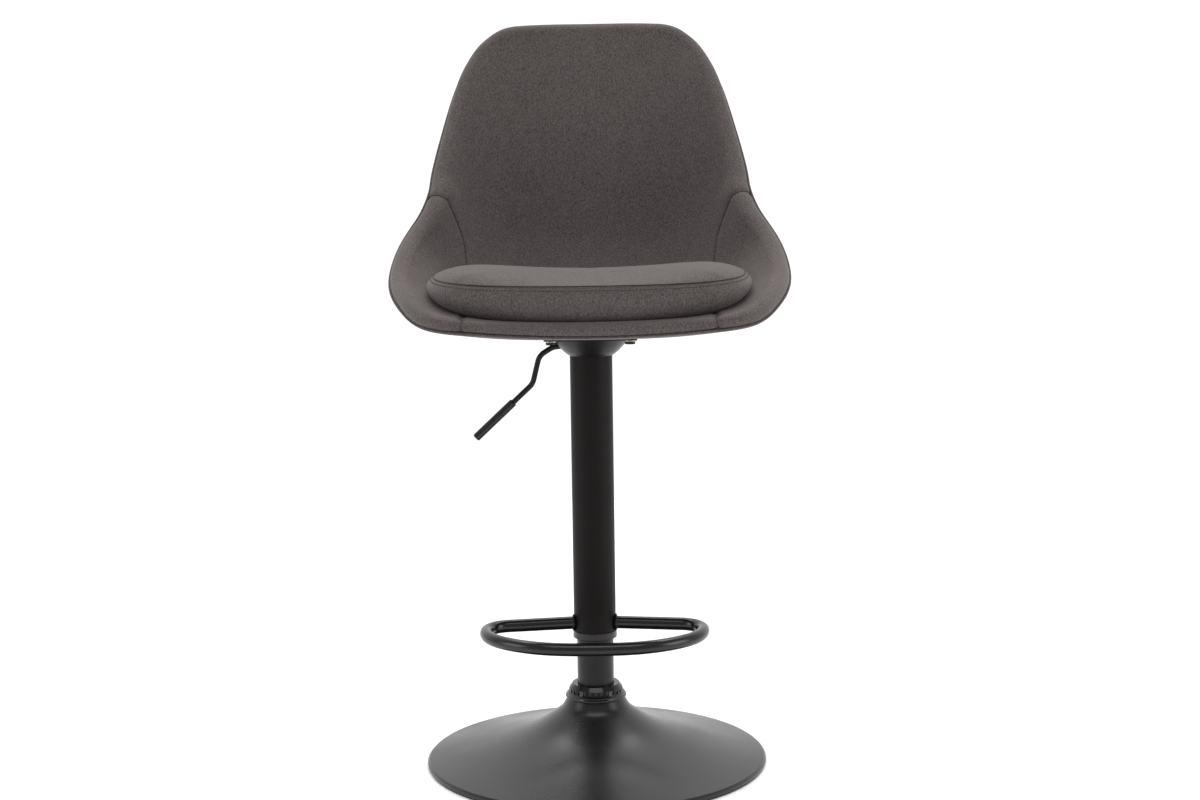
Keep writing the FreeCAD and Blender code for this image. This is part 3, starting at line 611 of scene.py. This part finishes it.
def along_path(name, points, tree, closed=False, **inputs):
    """Runs a tree on a curve of straight steps through the points and returns a plain mesh object."""
    curve = bpy.data.curves.new(name + "_path", "CURVE")
    curve.dimensions = "3D"
    spline = curve.splines.new("POLY")
    spline.points.add(len(points) - 1)
    spline.points.foreach_set("co", np.hstack([points, np.ones((len(points), 1))]).ravel())
    spline.use_cyclic_u = closed
    path = bpy.data.objects.new(name + "_path", curve)
    bpy.context.collection.objects.link(path)
    modifier = path.modifiers.new("tree", "NODES")
    modifier.node_group = tree
    for item in tree.interface.items_tree:
        if item.in_out == "INPUT" and item.name in inputs:
            modifier[item.identifier] = inputs[item.name]
    bpy.context.view_layer.update()
    solved = path.evaluated_get(bpy.context.evaluated_depsgraph_get())
    mesh = bpy.data.meshes.new_from_object(solved)
    bpy.data.objects.remove(path)
    made = bpy.data.objects.new(name, mesh)
    bpy.context.collection.objects.link(made)
    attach(made, "carriage")
    print(name, len(mesh.polygons), "faces")
    return made


# %% Edge binding round the rim, and threads in the seams
BINDING_RADIUS, BINDING_SUNK, THREAD_RADIUS = 1.2 * MM, 0.5 * MM, 0.3 * MM
binding_at, binding_out = rim_ring(EDGE_ANGLE)
binding_line = binding_at - binding_out * BINDING_SUNK
along_path("edge_binding", binding_line[::2], PIPING, closed=True, Radius=BINDING_RADIUS,
           Finish=cloth_dark)
for name, line in seams.items():
    along_path("seam_thread_" + name, line, PIPING, Radius=THREAD_RADIUS, Finish=thread_finish)

# %% [markdown]
# ## The loose cushion
# The cushion is a boxed pad: a top and a bottom panel joined by a strip. It is built as one closed
# sheet of even quads whose edge is a rounded rectangle, dished to follow the seat. Cloth simulation
# then inflates it between its seams, which stay put, as foam and wadding fill a sewn cover.

# %% Cushion outline and flat form
CUSHION_HALF_WIDTH, CUSHION_FRONT, CUSHION_BACK = 181 * MM, -184 * MM, 130 * MM
CORNER_POWER = 4.0                    # 2 would be an ellipse, and more is squarer
ACROSS, DEEP, BOXING_ROWS = 64, 50, 8
GRID_REACH, OUTLINE_PULL = 0.94, 3    # an even grid inside, which turns into the outline near the rim


def cushion_outline(a, b):
    """Rounded rectangle: maps the rim of the square (a, b) in -1..1 to the plan outline."""
    angle = np.arctan2(b, a)
    total = np.abs(np.cos(angle)) ** CORNER_POWER + np.abs(np.sin(angle)) ** CORNER_POWER
    reach = total ** (-1 / CORNER_POWER)
    return reach * np.cos(angle), reach * np.sin(angle)


def cushion_plan():
    """Grid of plan points whose rim lies on the outline, filled in evenly."""
    a, b = np.meshgrid(np.linspace(-1, 1, ACROSS), np.linspace(-1, 1, DEEP), indexing="ij")
    size = np.maximum(np.abs(a), np.abs(b))
    with np.errstate(divide="ignore", invalid="ignore"):
        x, y = cushion_outline(a / size, b / size)
    x, y = np.where(size > 0, x * size, 0), np.where(size > 0, y * size, 0)
    keep = size ** OUTLINE_PULL
    x, y = keep * x + (1 - keep) * a * GRID_REACH, keep * y + (1 - keep) * b * GRID_REACH
    centre, half = (CUSHION_FRONT + CUSHION_BACK) / 2, (CUSHION_BACK - CUSHION_FRONT) / 2
    return x * CUSHION_HALF_WIDTH, centre + y * half, size


# y and z in metres, at the middle of the cushion: its crown, its top seam and its underside
CROWN = ((-0.181, 0.611), (-0.15, 0.6115), (-0.10, 0.611), (-0.03, 0.6065), (0.03, 0.601),
         (0.13, 0.591))
SEAM_HEIGHT = ((-0.181, 0.605), (-0.07, 0.6055), (0.0, 0.601), (0.13, 0.588))
UNDERSIDE = ((-0.181, 0.5638), (-0.10, 0.567), (0.0, 0.565), (0.08, 0.567), (0.13, 0.582))
# how far each stands higher at the sides than in the middle, and the underside's late curl
CROWN_DISH, SEAM_DISH, UNDER_DISH, CURL, CURL_POWER = 15 * MM, 3 * MM, 10 * MM, 8 * MM, 5
SHOULDER_POWER, BULGE = 9, 8 * MM     # how late the top falls to its seam, and how far the boxing bellies
plan_x, plan_y, plan_size = cushion_plan()
across = np.abs(plan_x) / CUSHION_HALF_WIDTH
crown_z = np.interp(plan_y, *zip(*CROWN)) + CROWN_DISH * across ** 2
seam_z = np.interp(plan_y, *zip(*SEAM_HEIGHT)) + SEAM_DISH * across ** 2
top_z = seam_z + (crown_z - seam_z) * (1 - plan_size ** SHOULDER_POWER)
bottom_z = np.interp(plan_y, *zip(*UNDERSIDE)) + UNDER_DISH * across ** 2 \
    + CURL * across ** CURL_POWER
print("cushion edge height", round(float((top_z - bottom_z)[:, 0].mean()), 4), "m")


def cushion_mesh():
    """Points and quads of the closed cushion, its two seam loops, and how many quads its top has."""
    points = [np.stack([plan_x, plan_y, top_z], -1).reshape(-1, 3)]
    index = np.arange(ACROSS * DEEP).reshape(ACROSS, DEEP)
    corners = [index[:-1, :-1], index[1:, :-1], index[1:, 1:], index[:-1, 1:]]
    quads = [np.stack(corners, -1).reshape(-1, 4)]
    ring = np.concatenate([index[:, 0], index[-1, 1:], index[-2::-1, -1], index[0, -2:0:-1]])
    top_ring = points[0][ring]
    bottom_all = np.stack([plan_x, plan_y, bottom_z], -1).reshape(-1, 3)
    low_ring = bottom_all[ring]
    along = np.roll(top_ring, -1, 0) - np.roll(top_ring, 1, 0)
    outward = np.stack([along[:, 1], -along[:, 0], np.zeros(len(ring))], -1)
    outward /= np.linalg.norm(outward, axis=1, keepdims=True)
    before, count = ring, len(points[0])
    for k in range(1, BOXING_ROWS):
        share = k / BOXING_ROWS
        now = count + np.arange(len(ring))
        belly = outward * BULGE * 4 * share * (1 - share)
        points.append(top_ring * (1 - share) + low_ring * share + belly)
        quads.append(np.stack([before, now, np.roll(now, -1), np.roll(before, -1)], -1))
        before, count = now, count + len(ring)
    under = count + np.arange(ACROSS * DEEP)
    points.append(bottom_all)
    low = under[ring]
    quads.append(np.stack([before, low, np.roll(low, -1), np.roll(before, -1)], -1))
    quads.append(quads[0][:, ::-1] + count)
    return np.concatenate(points), np.concatenate(quads), ring, low, len(quads[0])


cushion_points, cushion_quads, top_seam, low_seam, top_count = cushion_mesh()
cushion = mesh_object("seat_cushion_cover", cushion_points, cushion_quads)
# the cushion's top takes the flat cloth, whose darker colour is painted shade on a surface that faces up
cushion.data.materials.append(cloth_flat_painted_shade)
cushion.data.materials.append(cloth_upright)
boxing_end = len(cushion_quads) - top_count
for i in range(top_count, boxing_end):
    cushion.data.polygons[i].material_index = 1

# %% Inflate it
PRESSURE, FRAMES = 4.0, 20
# how far a point may move: the underside rests on the seat and hardly swells
TOP_CAP, SIDE_CAP, UNDER_CAP = 4 * MM, 3 * MM, 0.6 * MM


def inflate(piece, points, held):
    """Cloth simulation with air pressure; held points stay. Returns the moved points."""
    group = piece.vertex_groups.new(name="seams")
    group.add([int(i) for i in held], 1.0, "REPLACE")
    cloth = piece.modifiers.new("cloth", "CLOTH")
    settings = cloth.settings
    settings.quality = 6
    settings.mass = 0.3
    settings.tension_stiffness = settings.compression_stiffness = 12
    settings.shear_stiffness = 6
    settings.bending_stiffness = 1.5
    settings.use_pressure = True
    settings.uniform_pressure_force = PRESSURE
    settings.vertex_group_mass = "seams"
    settings.effector_weights.gravity = 0.0
    scene = bpy.context.scene
    for step in range(1, FRAMES + 1):
        scene.frame_set(step)
    solved = piece.evaluated_get(bpy.context.evaluated_depsgraph_get()).data
    moved = np.empty(len(points) * 3)
    solved.vertices.foreach_get("co", moved)
    piece.modifiers.remove(cloth)
    piece.vertex_groups.clear()
    scene.frame_set(1)
    return moved.reshape(-1, 3)


def capped(before, after, cap):
    """Limits how far each point may move, with no kink where the limit is met."""
    shift = after - before
    length = np.linalg.norm(shift, axis=1, keepdims=True)
    return before + shift * (np.tanh(length / cap) * cap / np.maximum(length, 1e-9))


held = np.concatenate([top_seam, low_seam])
swollen = inflate(cushion, cushion_points, held)
print("free swelling", round(float(np.linalg.norm(swollen - cushion_points, axis=1).max()), 4), "m")
cap = np.full((len(cushion_points), 1), SIDE_CAP)
cap[:ACROSS * DEEP] = TOP_CAP
cap[-ACROSS * DEEP:] = UNDER_CAP
cushion_points = capped(cushion_points, swollen, cap)
cushion.data.vertices.foreach_set("co", cushion_points.ravel())
cushion.data.update()
smooth = cushion.modifiers.new("smooth", "SUBSURF")
smooth.levels = smooth.render_levels = 1
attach(cushion, "carriage")
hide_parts("seat_cushion")

# %% Cushion seams and top stitching
CUSHION_SEAM_RADIUS = 0.6 * MM
STITCH_PITCH, STITCH_RADIUS, STITCH_LIFT = 4.2 * MM, 0.45 * MM, 0.4 * MM
for name, ring in (("cushion_top_seam", top_seam), ("cushion_low_seam", low_seam)):
    along_path(name, cushion_points[ring], PIPING, closed=True, Radius=CUSHION_SEAM_RADIUS,
               Finish=cloth_dark)
first_row = cushion_points[ACROSS * DEEP:ACROSS * DEEP + len(top_seam)]
along_path("cushion_top_stitching", first_row + np.array([0, 0, STITCH_LIFT]), STITCHES, closed=True,
           Pitch=STITCH_PITCH, Radius=STITCH_RADIUS, Finish=thread_finish)

# %% [markdown]
# ## Finishes on the steelwork
# Each piece of the frame takes the finish of its material slot, and a few have a coat of their own.
# The upholstery solids have no finish here, because the panels and the cushion stand for them.

# %% Paint the frame
slots = {entry["node"]: entry["material_slot"] for entry in frame["record"]["subparts"]}
for name, piece in nodes.items():
    finish = OWN_FINISH.get(name, FINISHES.get(slots[name]))
    if finish is not None:
        piece.data.materials.clear()
        piece.data.materials.append(finish)
print(len(nodes), "frame nodes painted")
